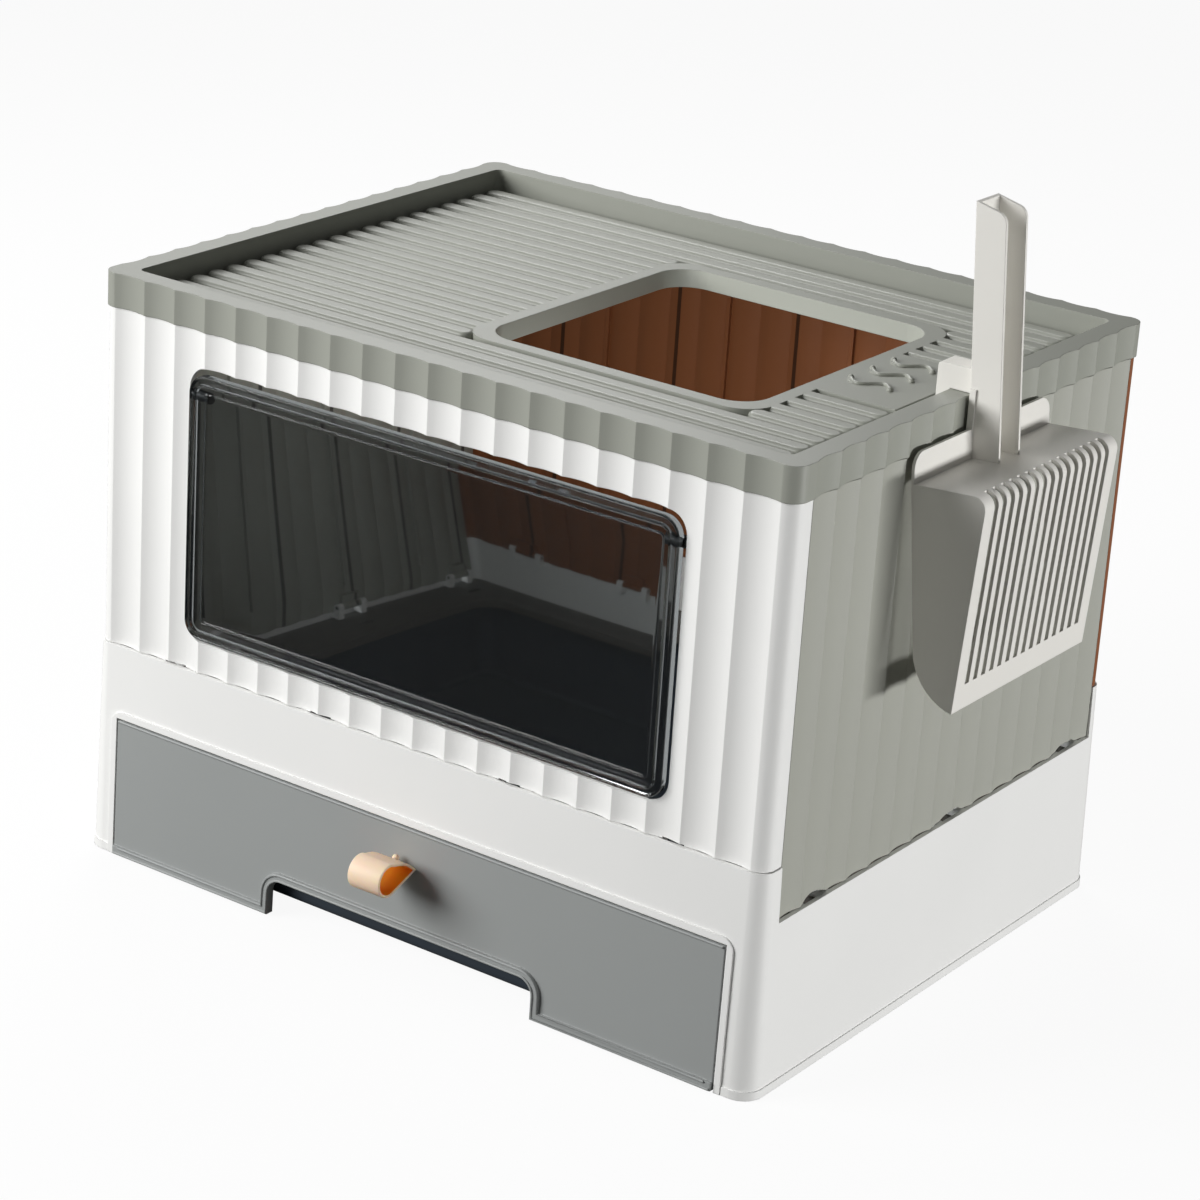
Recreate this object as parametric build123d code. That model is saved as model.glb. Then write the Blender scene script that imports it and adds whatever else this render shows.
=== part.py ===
from build123d import *
import math
import os

# Foldable cabin litter box with a drawer, a tinted front flap, a ribbed lid with a round-cornered
# entrance and a slotted scoop that hooks on the lid's right rim.
# Frame: +X along the front to the right, +Y to the back, +Z up.
# The origin is the centre of the base's underside. All sizes are in millimetres.

# ---- overall box ----
box_width = 515.0
box_depth = 400.0
box_height = 390.0
corner_radius = 10.0
smallest_radius = 1.0
overcut = 1.0

# ---- fluted walls ----
panel_inset = 1.0
panel_wall = 3.0
flute_depth = 2.0
front_flutes = 20
side_flutes = 15
front_return_straight = 7.0
back_return_straight = 1.5
panel_gap = 0.4
fold_gap = 0.7
stiffener_width = 3.0
stiffener_height = 3.0
stiffener_every = 4
stiffener_end_gap = 14.0

# ---- base ----
base_wall = 3.0
base_draft = 3.5
front_sill_height = 144.0
side_sill_height = 109.0
foot_band_height = 5.5
foot_band_proud = 0.8
deck_ledge_width = 9.0
deck_ledge_thickness = 4.0
deck_top = 103.0
deck_thickness = 3.0
deck_gap = 0.5
deck_opening_side_margin = 55.5
deck_opening_end_margin = 50.0
deck_opening_radius = 24.0
deck_rim_height = 4.0
deck_rim_width = 3.0
deck_slot_length = 16.0
deck_slot_width = 4.0

# ---- hinges of the walls ----
hinge_pin_radius = 1.5
running_clearance = 0.05
hinge_barrel_radius = 3.0
hinge_face_gap = 0.3
hinge_rise = 5.0
knuckle_length = 20.0
lug_length = 6.0
hinge_side_gap = 0.4
hinge_web_height = 10.0
lug_root_height = 5.0
side_slot_length = 26.0
side_slot_height = 4.0
front_slot_length = 16.0
front_slot_height = 0.9
side_knuckle_front_margin = 60.0
side_knuckle_middle = 17.0
side_knuckle_back_margin = 38.0
front_knuckle_margin = 65.5
front_knuckle_middle = 73.0

# ---- drawer ----
drawer_side_margin = 21.5
drawer_height = 94.0
drawer_floor_gap = 1.0
drawer_front_thickness = 4.0
drawer_proud = 1.0
drawer_gap = 1.2
drawer_lip_width = 4.5
drawer_lip_proud = 1.2
drawer_lip_radius = 9.0
notch_width = 208.0
notch_height = 26.0
notch_radius = 10.0
bead_width = 5.5
bead_proud = 1.8
pan_side_margin = 8.0
pan_back_margin = 18.0
pan_bottom = 7.0
pan_top = 92.0
pan_wall = 2.5
pan_radius = 18.0
pan_floor_radius = 8.0
pan_setback = 8.0
pan_boss_size = 16.0
pan_boss_spacing = 150.0
pan_boss_level = 66.0
runner_width = 46.0
runner_wall = 3.0
runner_gap = 0.3
runner_end_margin = 17.0
runner_guide_height = 16.0
runner_guide_thickness = 3.0
runner_seat_gap = 0.2
tie_depth = 40.0
tie_thickness = 2.0
drawer_side_gap = 1.5

# ---- pull loop ----
loop_place = -1.0
loop_level = 69.0
loop_width = 24.5
loop_thickness = 1.8
loop_reach = 37.0
loop_rise = 4.0
loop_radius = 10.8
loop_tab_height = 9.0
loop_seat_gap = 0.1
rivet_head_radius = 3.2
rivet_head_height = 1.6
rivet_shank_radius = 1.6
rivet_tail_height = 1.5

# ---- window ----
window_side_margin = 72.0
window_sill_rise = 21.0
window_top_margin = 45.0
window_radius = 15.0
flap_side_gap = 2.5
flap_top_gap = 4.0
flap_bottom_gap = 2.5
flap_thickness = 3.0
flap_rim_width = 13.0
flap_rim_proud = 4.0
flap_step_width = 6.0
flap_step_proud = 2.0
flap_inner_radius = 3.0
pivot_drop = 19.0
pivot_depth = 5.5
pivot_pin_radius = 2.0
pivot_barrel_radius = 4.0
pivot_barrel_length = 12.0
pivot_hole_depth = 10.0
pivot_ear_length = 8.0
pivot_ear_size = 12.0

# ---- lid ----
skirt_height = 22.0
lid_seat_gap = 0.3
rim_width = 16.0
rim_thickness = 3.0
skirt_wall = 2.8
lid_wall = 2.5
lid_recess = 12.0
rib_height = 4.5
rib_count = 21
rib_groove = 4.2
rib_left_gap = 2.0
rib_right_gap = 17.5
rib_edge_gap = 5.5
rib_top_rounding = 2.8
entry_width = 196.0
entry_depth = 213.8
entry_right_gap = 84.5
entry_y = 8.5
entry_band = 10.0
entry_radius = 22.0
entry_neck = 12.0
pad_first_row = 8
pad_last_row = 13
wave_count = 3
wave_gap = 3.0
wave_y = 15.0
wave_spacing = 24.5
wave_length = 30.0
wave_height = 10.0
wave_thickness = 2.2
wave_proud = 1.0
lip_length = 60.0
lip_thickness = 2.0
lip_depth = 14.0
lip_gap = 0.8
lip_margin = 72.5
lip_middle = 62.0

# ---- scoop ----
scoop_centre = -4.5
scoop_width = 157.0
scoop_wall = 2.0
scoop_drop = 37.0
scoop_standoff = 3.4
scoop_depth = 50.0
scoop_tip_depth = 30.5
scoop_length = 134.0
scoop_edge_length = 104.0
scoop_edge_depth = 4.0
scoop_corner_radius = 8.0
scoop_lean = 4.5
scoop_cheek_bow = 4.2
scoop_flange_height = 18.0
scoop_flange_radius = 10.0
scoop_slots = 15
scoop_slot_width = 4.6
scoop_slot_margin = 13.0
scoop_slot_end = 16.0
scoop_slot_wrap = 9.0
handle_centre = -6.0
handle_width = 25.0
handle_depth = 20.0
handle_wall = 2.0
handle_length = 153.0
handle_slant = 6.5
handle_corner_radius = 7.0
hook_width = 16.0
hook_reach = 9.0
hook_rise = 15.0
hook_gap = 0.3
hook_drop = 9.0
hook_wall = 2.5
hook_leg_side = 1.0
hook_leg_rise = 5.0

# ---- worked out from the sizes above ----
half_width = box_width / 2
half_depth = box_depth / 2
front_return = corner_radius + panel_inset + front_return_straight
back_return = corner_radius + panel_inset + back_return_straight
front_end = half_width - corner_radius - panel_inset
front_pitch = 2 * front_end / front_flutes
side_start = -half_depth + front_return + panel_gap
side_end = half_depth - back_return - panel_gap
side_pitch = (side_end - side_start) / side_flutes
panel_face_x = half_width - panel_inset
panel_face_y = half_depth - panel_inset
skirt_bottom = box_height - skirt_height
panel_top = skirt_bottom - lid_seat_gap
side_panel_top = skirt_bottom - fold_gap
hinge_offset = panel_wall + flute_depth + hinge_face_gap + hinge_barrel_radius
side_axis_x = panel_face_x - hinge_offset
side_axis_z = side_sill_height + hinge_rise
front_axis_y = panel_face_y - hinge_offset
front_axis_z = front_sill_height + hinge_rise
side_knuckle_places = (-half_depth + side_knuckle_front_margin, side_knuckle_middle,
                       half_depth - side_knuckle_back_margin)
front_knuckle_outer = half_width - front_knuckle_margin
front_knuckle_places = (-front_knuckle_outer, -front_knuckle_middle,
                        front_knuckle_middle, front_knuckle_outer)
lip_outer = half_width - lip_margin
lip_places = (-lip_outer, -lip_middle, lip_middle, lip_outer)
pin_hole_radius = hinge_pin_radius + running_clearance
pivot_hole_radius = pivot_pin_radius + running_clearance
rivet_hole_radius = rivet_shank_radius + running_clearance
lid_floor_top = box_height - lid_recess - rib_height
lid_floor_bottom = lid_floor_top - lid_wall
rib_top = box_height - lid_recess
inner_rim_x = half_width - rim_width
inner_rim_y = half_depth - rim_width
rib_pitch = (2 * inner_rim_y - 2 * rib_edge_gap) / rib_count
rib_width = rib_pitch - rib_groove
rib_left = -inner_rim_x + rib_left_gap
rib_right = inner_rim_x - rib_right_gap
entry_x = inner_rim_x - entry_right_gap - entry_width / 2
band_left = entry_x - entry_width / 2 - entry_band
band_right = entry_x + entry_width / 2 + entry_band
wave_x = band_right + wave_gap + wave_length / 2
deck_opening_width = box_width - 2 * deck_opening_side_margin
deck_opening_depth = box_depth - 2 * deck_opening_end_margin
drawer_width = box_width - 2 * drawer_side_margin
drawer_opening_half = drawer_width / 2 + drawer_gap
drawer_opening_top = drawer_height + drawer_gap
pan_width = drawer_width - 2 * pan_side_margin
pan_front_y = -half_depth + pan_setback
pan_back_y = half_depth - pan_back_margin
pan_depth = pan_back_y - pan_front_y
runner_length = box_depth - 2 * runner_end_margin
window_width = box_width - 2 * window_side_margin
window_bottom = front_sill_height + window_sill_rise
window_top = box_height - window_top_margin
scoop_top = box_height - scoop_drop
pivot_y = -panel_face_y + pivot_depth
pivot_z = window_top - pivot_drop

os.makedirs("parts", exist_ok=True)


def block(low, high):
    """A box between two corners."""
    size = [high[i] - low[i] for i in range(3)]
    centre = [(high[i] + low[i]) / 2 for i in range(3)]
    return Pos(*centre) * Box(*size)


def rod(start, end, radius):
    """A round bar between two points."""
    direction = Vector(*end) - Vector(*start)
    return Solid.make_cylinder(radius, direction.length, Plane(origin=start, z_dir=direction))


def front_prism(sketch, level, outer, inner):
    """An upright outline facing the front, filled from one distance before the centre to another."""
    plane = Plane(origin=(0, -outer, level), x_dir=(1, 0, 0), z_dir=(0, -1, 0))
    return extrude(plane * sketch, inner - outer)


def slab(sketch, low, high):
    """A flat outline in X and Y raised from one height to another."""
    return extrude(Pos(0, 0, low) * sketch, high - low)


def flutes(start, end, count, inward):
    """Concave scallops between crests, from one plan point to another."""
    edges = []
    for i in range(count):
        a = Vector(*start) + (Vector(*end) - Vector(*start)) * (i / count)
        b = Vector(*start) + (Vector(*end) - Vector(*start)) * ((i + 1) / count)
        middle = (a + b) * 0.5 + Vector(*inward) * flute_depth
        edges.append(ThreePointArc(a, middle, b))
    return edges


def corner(centre, radius, start_angle):
    """A quarter turn in plan, counter-clockwise."""
    return CenterArc((centre[0], centre[1]), radius, start_angle, 90)


def outline(edges):
    """A closed face from plan edges in any order."""
    return make_face(Wire(edges))


# ---- the four fluted walls ----

def end_wall_plan(wall_return):
    """The plan of a front or back wall, drawn as the front one, with a return round each corner."""
    x, y = panel_face_x, panel_face_y
    inner_radius = corner_radius - panel_wall
    cx, cy = x - corner_radius, -y + corner_radius
    end_y = -half_depth + wall_return
    outer = flutes((-front_end, -y), (front_end, -y), front_flutes, (0, 1))
    inner = flutes((-front_end, -y + panel_wall), (front_end, -y + panel_wall), front_flutes, (0, 1))
    edges = outer + inner
    edges.append(corner((cx, cy), corner_radius, 270))
    edges.append(corner((-cx, cy), corner_radius, 180))
    edges.append(corner((cx, cy), inner_radius, 270))
    edges.append(corner((-cx, cy), inner_radius, 180))
    for side in (-1, 1):
        edges.append(Line((side * x, cy), (side * x, end_y)))
        edges.append(Line((side * x, end_y), (side * (x - panel_wall), end_y)))
        edges.append(Line((side * (x - panel_wall), end_y), (side * (x - panel_wall), cy)))
    return outline(edges)


def side_wall_plan():
    """The plan of the right wall, between the returns of the front and back walls."""
    x = panel_face_x
    outer = flutes((x, side_start), (x, side_end), side_flutes, (-1, 0))
    inner = flutes((x - panel_wall, side_start), (x - panel_wall, side_end), side_flutes, (-1, 0))
    ends = [Line((x, place), (x - panel_wall, place)) for place in (side_start, side_end)]
    return outline(outer + inner + ends)


def side_slot(place):
    """The arched cut at the foot of the right wall, in front of a knuckle."""
    half = side_slot_length / 2
    radius = (half ** 2 + side_slot_height ** 2) / (2 * side_slot_height)
    level = side_sill_height + panel_gap + side_slot_height - radius
    clear = side_axis_x + hinge_barrel_radius + hinge_side_gap / 2
    return rod((clear, place, level), (half_width + flute_depth, place, level), radius)


def front_slot(place):
    """The narrow slit at the foot of the front wall, in front of a knuckle."""
    half = front_slot_length / 2
    low = front_sill_height
    clear = front_axis_y + hinge_barrel_radius + hinge_side_gap / 2
    high = low + panel_gap + front_slot_height
    return block((place - half, -half_depth, low), (place + half, -clear, high))


def side_knuckle(place):
    """A knuckle on the inner face of the right wall, with its web."""
    low, high = place - knuckle_length / 2, place + knuckle_length / 2
    barrel = rod((side_axis_x, low, side_axis_z), (side_axis_x, high, side_axis_z), hinge_barrel_radius)
    web_x = panel_face_x - panel_wall
    web = block((side_axis_x, low, side_axis_z), (web_x, high, side_axis_z + hinge_web_height))
    hole = rod((side_axis_x, low - overcut, side_axis_z), (side_axis_x, high + overcut, side_axis_z),
               pin_hole_radius)
    return (barrel + web) - hole


def front_knuckle(place):
    """A knuckle on the inner face of the front wall, with its web."""
    low, high = place - knuckle_length / 2, place + knuckle_length / 2
    y = -front_axis_y
    barrel = rod((low, y, front_axis_z), (high, y, front_axis_z), hinge_barrel_radius)
    web_y = -panel_face_y + panel_wall
    web = block((low, web_y, front_axis_z), (high, y, front_axis_z + hinge_web_height))
    hole = rod((low - overcut, y, front_axis_z), (high + overcut, y, front_axis_z), pin_hole_radius)
    return (barrel + web) - hole


def stiffeners_side():
    """Upright ribs on the inner face of the right wall, at every fourth crest."""
    bars = []
    x = panel_face_x - panel_wall
    low = side_axis_z + hinge_web_height + stiffener_end_gap / 2
    for crest in range(stiffener_every, side_flutes, stiffener_every):
        y = side_start + crest * side_pitch
        bars.append(block((x - stiffener_height, y - stiffener_width / 2, low),
                          (x + panel_wall / 2, y + stiffener_width / 2, side_panel_top - stiffener_end_gap)))
    return bars


def stiffeners_back():
    """Upright ribs on the inner face of the back wall, drawn on the front side, at every fourth crest."""
    bars = []
    y = -panel_face_y + panel_wall
    low = front_axis_z + hinge_web_height + stiffener_end_gap / 2
    for crest in range(stiffener_every, front_flutes, stiffener_every):
        x = -front_end + crest * front_pitch
        bars.append(block((x - stiffener_width / 2, y - panel_wall / 2, low),
                          (x + stiffener_width / 2, y + stiffener_height, panel_top - stiffener_end_gap)))
    return bars


def end_wall(wall_return):
    """A front or back wall with its hinge knuckles, drawn on the front side."""
    wall = slab(end_wall_plan(wall_return), front_sill_height + panel_gap, panel_top)
    for place in front_knuckle_places:
        wall -= front_slot(place)
    for place in front_knuckle_places:
        wall += front_knuckle(place)
    return wall


def side_wall():
    """The right wall with its hinge knuckles."""
    wall = slab(side_wall_plan(), side_sill_height + panel_gap, side_panel_top)
    for place in side_knuckle_places:
        wall -= side_slot(place)
    for bar in stiffeners_side():
        wall += bar
    for place in side_knuckle_places:
        wall += side_knuckle(place)
    return wall


def window_hole():
    """The window opening as a prism through the front wall."""
    shape = RectangleRounded(window_width, window_top - window_bottom, window_radius)
    return front_prism(shape, (window_top + window_bottom) / 2, box_depth, 0)


def pivot_ear(side):
    """The block on the front wall's inner face that carries a pivot pin of the flap."""
    half = pivot_ear_size / 2
    near, far = sorted((side * window_width / 2, side * (window_width / 2 + pivot_ear_length)))
    return block((near, -panel_face_y + flute_depth, pivot_z - half), (far, pivot_y + half, pivot_z + half))


def make_front_panel():
    """The white front wall with the window opening."""
    wall = end_wall(front_return) - window_hole()
    for side in (-1, 1):
        wall += pivot_ear(side)
    reach = window_width / 2 + pivot_ear_length
    return wall - rod((-reach, pivot_y, pivot_z), (reach, pivot_y, pivot_z), pivot_hole_radius)


def make_back_panel():
    """The back wall, turned round from the front side."""
    wall = end_wall(back_return)
    for bar in stiffeners_back():
        wall += bar
    return mirror(wall, about=Plane.XZ)


# ---- base ----

def base_half(level, grow):
    """Half width and half depth of the base's outside at a height."""
    spread = base_draft * (1 - level / front_sill_height) + grow
    return half_width + spread, half_depth + spread


def base_block(low, high, grow):
    """The drafted outer block of the base between two heights, grown or shrunk all round."""
    faces = []
    for level in (low, high):
        x, y = base_half(level, grow)
        radius = corner_radius + grow + base_draft * (1 - level / front_sill_height)
        faces.append(Pos(0, 0, level) * RectangleRounded(2 * x, 2 * y, max(radius, smallest_radius)))
    return loft(faces, ruled=True)


def side_lug(place, side):
    """A lug of the base beside a knuckle of the right wall."""
    low = place + side * (knuckle_length / 2 + hinge_side_gap)
    high = low + side * lug_length
    low, high = min(low, high), max(low, high)
    root = block((side_axis_x - hinge_barrel_radius, low, side_sill_height - lug_root_height),
                 (half_width - base_wall / 2, high, side_sill_height))
    post = block((side_axis_x - hinge_barrel_radius, low, side_sill_height - lug_root_height),
                 (side_axis_x + hinge_barrel_radius, high, side_axis_z))
    barrel = rod((side_axis_x, low, side_axis_z), (side_axis_x, high, side_axis_z), hinge_barrel_radius)
    hole = rod((side_axis_x, low - overcut, side_axis_z), (side_axis_x, high + overcut, side_axis_z),
               pin_hole_radius)
    return (root + post + barrel) - hole


def front_lug(place, side):
    """A lug of the base beside a knuckle of the front wall."""
    low = place + side * (knuckle_length / 2 + hinge_side_gap)
    high = low + side * lug_length
    low, high = min(low, high), max(low, high)
    y = -front_axis_y
    root = block((low, -half_depth + base_wall / 2, front_sill_height - lug_root_height),
                 (high, y + hinge_barrel_radius, front_sill_height))
    post = block((low, y - hinge_barrel_radius, front_sill_height - lug_root_height),
                 (high, y + hinge_barrel_radius, front_axis_z))
    barrel = rod((low, y, front_axis_z), (high, y, front_axis_z), hinge_barrel_radius)
    hole = rod((low - overcut, y, front_axis_z), (high + overcut, y, front_axis_z), pin_hole_radius)
    return (root + post + barrel) - hole


def drawer_opening(grow, top_grow, radius):
    """A prism through the front wall for the drawer, open at the floor."""
    width = 2 * (drawer_opening_half + grow)
    top = drawer_opening_top + top_grow
    shape = RectangleRounded(width, 2 * top, radius) if radius else Rectangle(width, 2 * top)
    return front_prism(shape, 0, box_depth, inner_rim_y)


def make_base():
    """The white drafted base: walls, corner posts, deck ledge and hinge lugs."""
    shell = base_block(0, front_sill_height, 0)
    shell += base_block(0, foot_band_height, foot_band_proud)
    lip = base_block(0, drawer_opening_top + drawer_lip_width + overcut, drawer_lip_proud)
    shell += lip & drawer_opening(drawer_lip_width, drawer_lip_width, drawer_lip_radius)
    shell -= base_block(-overcut, front_sill_height + overcut, -base_wall)
    ledge_z = deck_top - deck_thickness
    ledge = base_block(ledge_z - deck_ledge_thickness, ledge_z, -base_wall / 2)
    x, y = half_width - base_wall - deck_ledge_width, half_depth - base_wall - deck_ledge_width
    ledge -= block((-x, -y, 0), (x, y, box_height))
    shell += ledge
    for side in (-1, 1):
        x_low, x_high = sorted((side * (half_width - 2 * corner_radius), side * (half_width + corner_radius)))
        shell -= block((x_low, -half_depth + front_return, side_sill_height),
                       (x_high, half_depth - back_return, front_sill_height + overcut))
    shell -= drawer_opening(0, 0, 0)
    for place in side_knuckle_places:
        for side in (-1, 1):
            lug = side_lug(place, side)
            shell += lug
            shell += mirror(lug, about=Plane.YZ)
    for place in front_knuckle_places:
        for side in (-1, 1):
            lug = front_lug(place, side)
            shell += lug
            shell += mirror(lug, about=Plane.XZ)
    return shell


def make_deck():
    """The inner deck that frames the way down to the litter pan."""
    x, y = half_width - base_wall - deck_gap, half_depth - base_wall - deck_gap
    low = deck_top - deck_thickness
    hole = RectangleRounded(deck_opening_width, deck_opening_depth, deck_opening_radius)
    rim = RectangleRounded(deck_opening_width + 2 * deck_rim_width,
                           deck_opening_depth + 2 * deck_rim_width,
                           deck_opening_radius + deck_rim_width)
    plate = slab(RectangleRounded(2 * x, 2 * y, corner_radius - base_wall), low, deck_top)
    plate += slab(rim, low, deck_top + deck_rim_height)
    plate -= slab(hole, low - overcut, deck_top + deck_rim_height + overcut)
    slot_x = (x + deck_opening_width / 2 + deck_rim_width) / 2
    for side in (-1, 1):
        for place in side_knuckle_places:
            x_low, x_high = side * slot_x - deck_slot_width / 2, side * slot_x + deck_slot_width / 2
            y_low, y_high = place - deck_slot_length / 2, place + deck_slot_length / 2
            plate -= block((x_low, y_low, low - overcut), (x_high, y_high, deck_top + overcut))
    return plate


def make_runner():
    """The right drawer runner: a low rail on the floor that meets the wall, with a side guide."""
    wall_x = half_width - base_wall
    inner_x = wall_x - runner_width
    top = pan_bottom - runner_gap
    y = runner_length / 2
    rail = block((inner_x, -y, 0), (half_width + base_draft, y, top))
    rail -= block((inner_x + runner_wall, -y, 0), (wall_x - runner_wall, y, top - runner_wall))
    rail -= block((0, -tie_depth / 2, 0), (box_width, tie_depth / 2, tie_thickness))
    guide_x = pan_width / 2 + drawer_side_gap
    rail += block((guide_x, -y, top - runner_wall / 2),
                  (guide_x + runner_guide_thickness, y, top + runner_guide_height))
    return rail & base_block(0, deck_top, -base_wall - runner_seat_gap)


def make_tie():
    """The flat tie under both runners that keeps the sides of the open base apart."""
    x = half_width - base_wall
    return block((-x, -tie_depth / 2, 0), (x, tie_depth / 2, tie_thickness))


# ---- drawer ----

def drawer_face(level):
    """How far the drawer front's outer face lies before the centre at a height."""
    return base_half(level, drawer_proud)[1]


def drawer_sheet(low, high, proud, thickness):
    """A sheet along the base's front slope, as wide as the drawer front."""
    sheet = base_block(low, high, proud) - base_block(low - overcut, high + overcut, proud - thickness)
    return sheet & block((-drawer_width / 2, -box_depth, low), (drawer_width / 2, 0, high))


def notch(grow):
    """The hand notch as a prism through the drawer front."""
    shape = RectangleRounded(notch_width + 2 * grow, 2 * (notch_height + grow), notch_radius + grow)
    return front_prism(shape, 0, box_depth, 0)


def make_drawer_front():
    """The grey drawer front with its beaded foot, hand notch, bosses and rivet hole."""
    plate = drawer_sheet(drawer_floor_gap, drawer_height, drawer_proud, drawer_front_thickness)
    bead_face = drawer_proud + bead_proud
    bead_thickness = bead_proud + drawer_front_thickness / 2
    bead = drawer_sheet(drawer_floor_gap, drawer_floor_gap + bead_width, bead_face, bead_thickness)
    ring = drawer_sheet(drawer_floor_gap, drawer_height / 2, bead_face, bead_thickness)
    plate = (plate + bead + (ring & notch(bead_width))) - notch(0)
    root = drawer_face(pan_boss_level) - drawer_front_thickness / 2
    half = pan_boss_size / 2
    for side in (-1, 1):
        x = side * pan_boss_spacing
        plate += block((x - half, -root, pan_boss_level - half),
                       (x + half, pan_front_y, pan_boss_level + half))
    outer = drawer_face(loop_level) + overcut
    inner = drawer_face(loop_level) - drawer_front_thickness - overcut
    return plate - rod((loop_place, -outer, loop_level), (loop_place, -inner, loop_level), rivet_hole_radius)


def make_pan():
    """The litter pan that slides with the drawer front."""
    y = (pan_front_y + pan_back_y) / 2
    outer = slab(RectangleRounded(pan_width, pan_depth, pan_radius), pan_bottom, pan_top)
    outer = fillet(outer.faces().sort_by(Axis.Z)[0].edges(), pan_floor_radius)
    inner = slab(RectangleRounded(pan_width - 2 * pan_wall, pan_depth - 2 * pan_wall, pan_radius - pan_wall),
                 pan_bottom + pan_wall, pan_top + overcut)
    inner = fillet(inner.faces().sort_by(Axis.Z)[0].edges(), pan_floor_radius - pan_wall)
    return Pos(0, y, 0) * (outer - inner)


def loop_face():
    """How far the loop's tab stands before the centre, clear of the leaning drawer front."""
    return drawer_face(loop_level - loop_tab_height / 2) + loop_seat_gap


def teardrop(shrink):
    """The loop's side outline, shrunk all round: a point at the drawer front and a round outer end."""
    tip = Vector(-loop_face(), loop_level)
    centre = Vector(-loop_face() - loop_reach + loop_radius, loop_level + loop_rise)
    reach = (tip - centre).length
    along = (tip - centre).normalized()
    spread = math.degrees(math.acos(loop_radius / reach))
    radius = loop_radius - shrink
    tip = centre + along * (reach * radius / loop_radius)
    upper = centre + along.rotate(Axis.Z, spread) * radius
    lower = centre + along.rotate(Axis.Z, -spread) * radius
    end = centre - along * radius
    return make_face(Wire([Line(tip, upper), ThreePointArc(upper, end, lower), Line(lower, tip)]))


def make_loop():
    """The soft pull loop with a flat tab against the drawer front."""
    left, right = loop_place - loop_width / 2, loop_place + loop_width / 2
    plane = Plane(origin=(left, 0, 0), x_dir=(0, 1, 0), z_dir=(1, 0, 0))
    loop = extrude(plane * (teardrop(0) - teardrop(loop_thickness)), loop_width)
    face = -loop_face()
    half = loop_tab_height / 2
    loop += block((left, face - loop_thickness, loop_level - half), (right, face, loop_level + half))
    reach = face - loop_reach / 2
    loop -= rod((loop_place, reach, loop_level), (loop_place, face + overcut, loop_level), rivet_hole_radius)
    seat = rod((loop_place, reach, loop_level), (loop_place, face - loop_thickness, loop_level),
               rivet_head_radius + running_clearance)
    return loop - seat


def make_rivet():
    """The rivet that holds the loop to the drawer front."""
    seat = -loop_face() - loop_thickness
    back = -base_half(loop_level + rivet_head_radius, drawer_proud - drawer_front_thickness)[1]
    head = rod((loop_place, seat - rivet_head_height, loop_level), (loop_place, seat, loop_level),
               rivet_head_radius)
    shank = rod((loop_place, seat, loop_level), (loop_place, back, loop_level), rivet_shank_radius)
    tail = rod((loop_place, back, loop_level), (loop_place, back + rivet_tail_height, loop_level),
               rivet_head_radius)
    return head + shank + tail


# ---- window flap ----

def flap_prism(shrink, outer, inner):
    """A rounded plate of the flap's outline, shrunk all round, between two distances before the centre."""
    low = window_bottom + flap_bottom_gap + shrink
    high = window_top - flap_top_gap - shrink
    width = window_width - 2 * flap_side_gap - 2 * shrink
    radius = max(window_radius - flap_side_gap - shrink, flap_inner_radius)
    shape = RectangleRounded(width, high - low, radius)
    return front_prism(shape, (low + high) / 2, outer, inner)


def flap_step(width, proud):
    """One step of the flap's rim."""
    face = panel_face_y
    return flap_prism(0, face + proud, face) - flap_prism(width, face + proud, face)


def make_flap():
    """The tinted window flap with its stepped rim and the two pivot barrels."""
    flap = flap_prism(0, panel_face_y, panel_face_y - flap_thickness)
    flap += flap_step(flap_rim_width, flap_step_proud)
    flap += flap_step(flap_step_width, flap_rim_proud)
    edge = window_width / 2 - flap_side_gap
    for side in (-1, 1):
        outer, inner = side * edge, side * (edge - pivot_barrel_length)
        blind = side * (edge - pivot_hole_depth)
        flap += rod((inner, pivot_y, pivot_z), (outer, pivot_y, pivot_z), pivot_barrel_radius)
        flap -= rod((blind, pivot_y, pivot_z), (outer, pivot_y, pivot_z), pivot_hole_radius)
    return flap


def make_pivot_pins():
    """The two steel pivot pins of the flap."""
    inner = window_width / 2 - flap_side_gap - pivot_hole_depth
    outer = window_width / 2 + pivot_ear_length
    return Compound([rod((side * inner, pivot_y, pivot_z), (side * outer, pivot_y, pivot_z), pivot_pin_radius)
                     for side in (-1, 1)])


# ---- hinge pins of the walls ----

def make_side_pins(side):
    """The pins of the left or right wall's hinge."""
    half = knuckle_length / 2 + hinge_side_gap + lug_length
    x = side * side_axis_x
    return Compound([rod((x, place - half, side_axis_z), (x, place + half, side_axis_z), hinge_pin_radius)
                     for place in side_knuckle_places])


def make_end_pins(side):
    """The pins of the front or back wall's hinge."""
    half = knuckle_length / 2 + hinge_side_gap + lug_length
    y = side * front_axis_y
    return Compound([rod((place - half, y, front_axis_z), (place + half, y, front_axis_z), hinge_pin_radius)
                     for place in front_knuckle_places])


# ---- lid ----

def lid_plan():
    """The lid's fluted outline with plain round corners."""
    x, y = half_width, half_depth
    cx, cy = x - corner_radius, y - corner_radius
    edges = flutes((-front_end, -y), (front_end, -y), front_flutes, (0, 1))
    edges += flutes((-front_end, y), (front_end, y), front_flutes, (0, -1))
    for side in (-1, 1):
        edges += flutes((side * x, side_start), (side * x, side_end), side_flutes, (-side, 0))
        edges.append(Line((side * x, -cy), (side * x, side_start)))
        edges.append(Line((side * x, cy), (side * x, side_end)))
        for end in (-1, 1):
            edges.append(Line((side * cx, end * y), (side * front_end, end * y)))
    edges.append(corner((cx, cy), corner_radius, 0))
    edges.append(corner((-cx, cy), corner_radius, 90))
    edges.append(corner((-cx, -cy), corner_radius, 180))
    edges.append(corner((cx, -cy), corner_radius, 270))
    return outline(edges)


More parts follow.
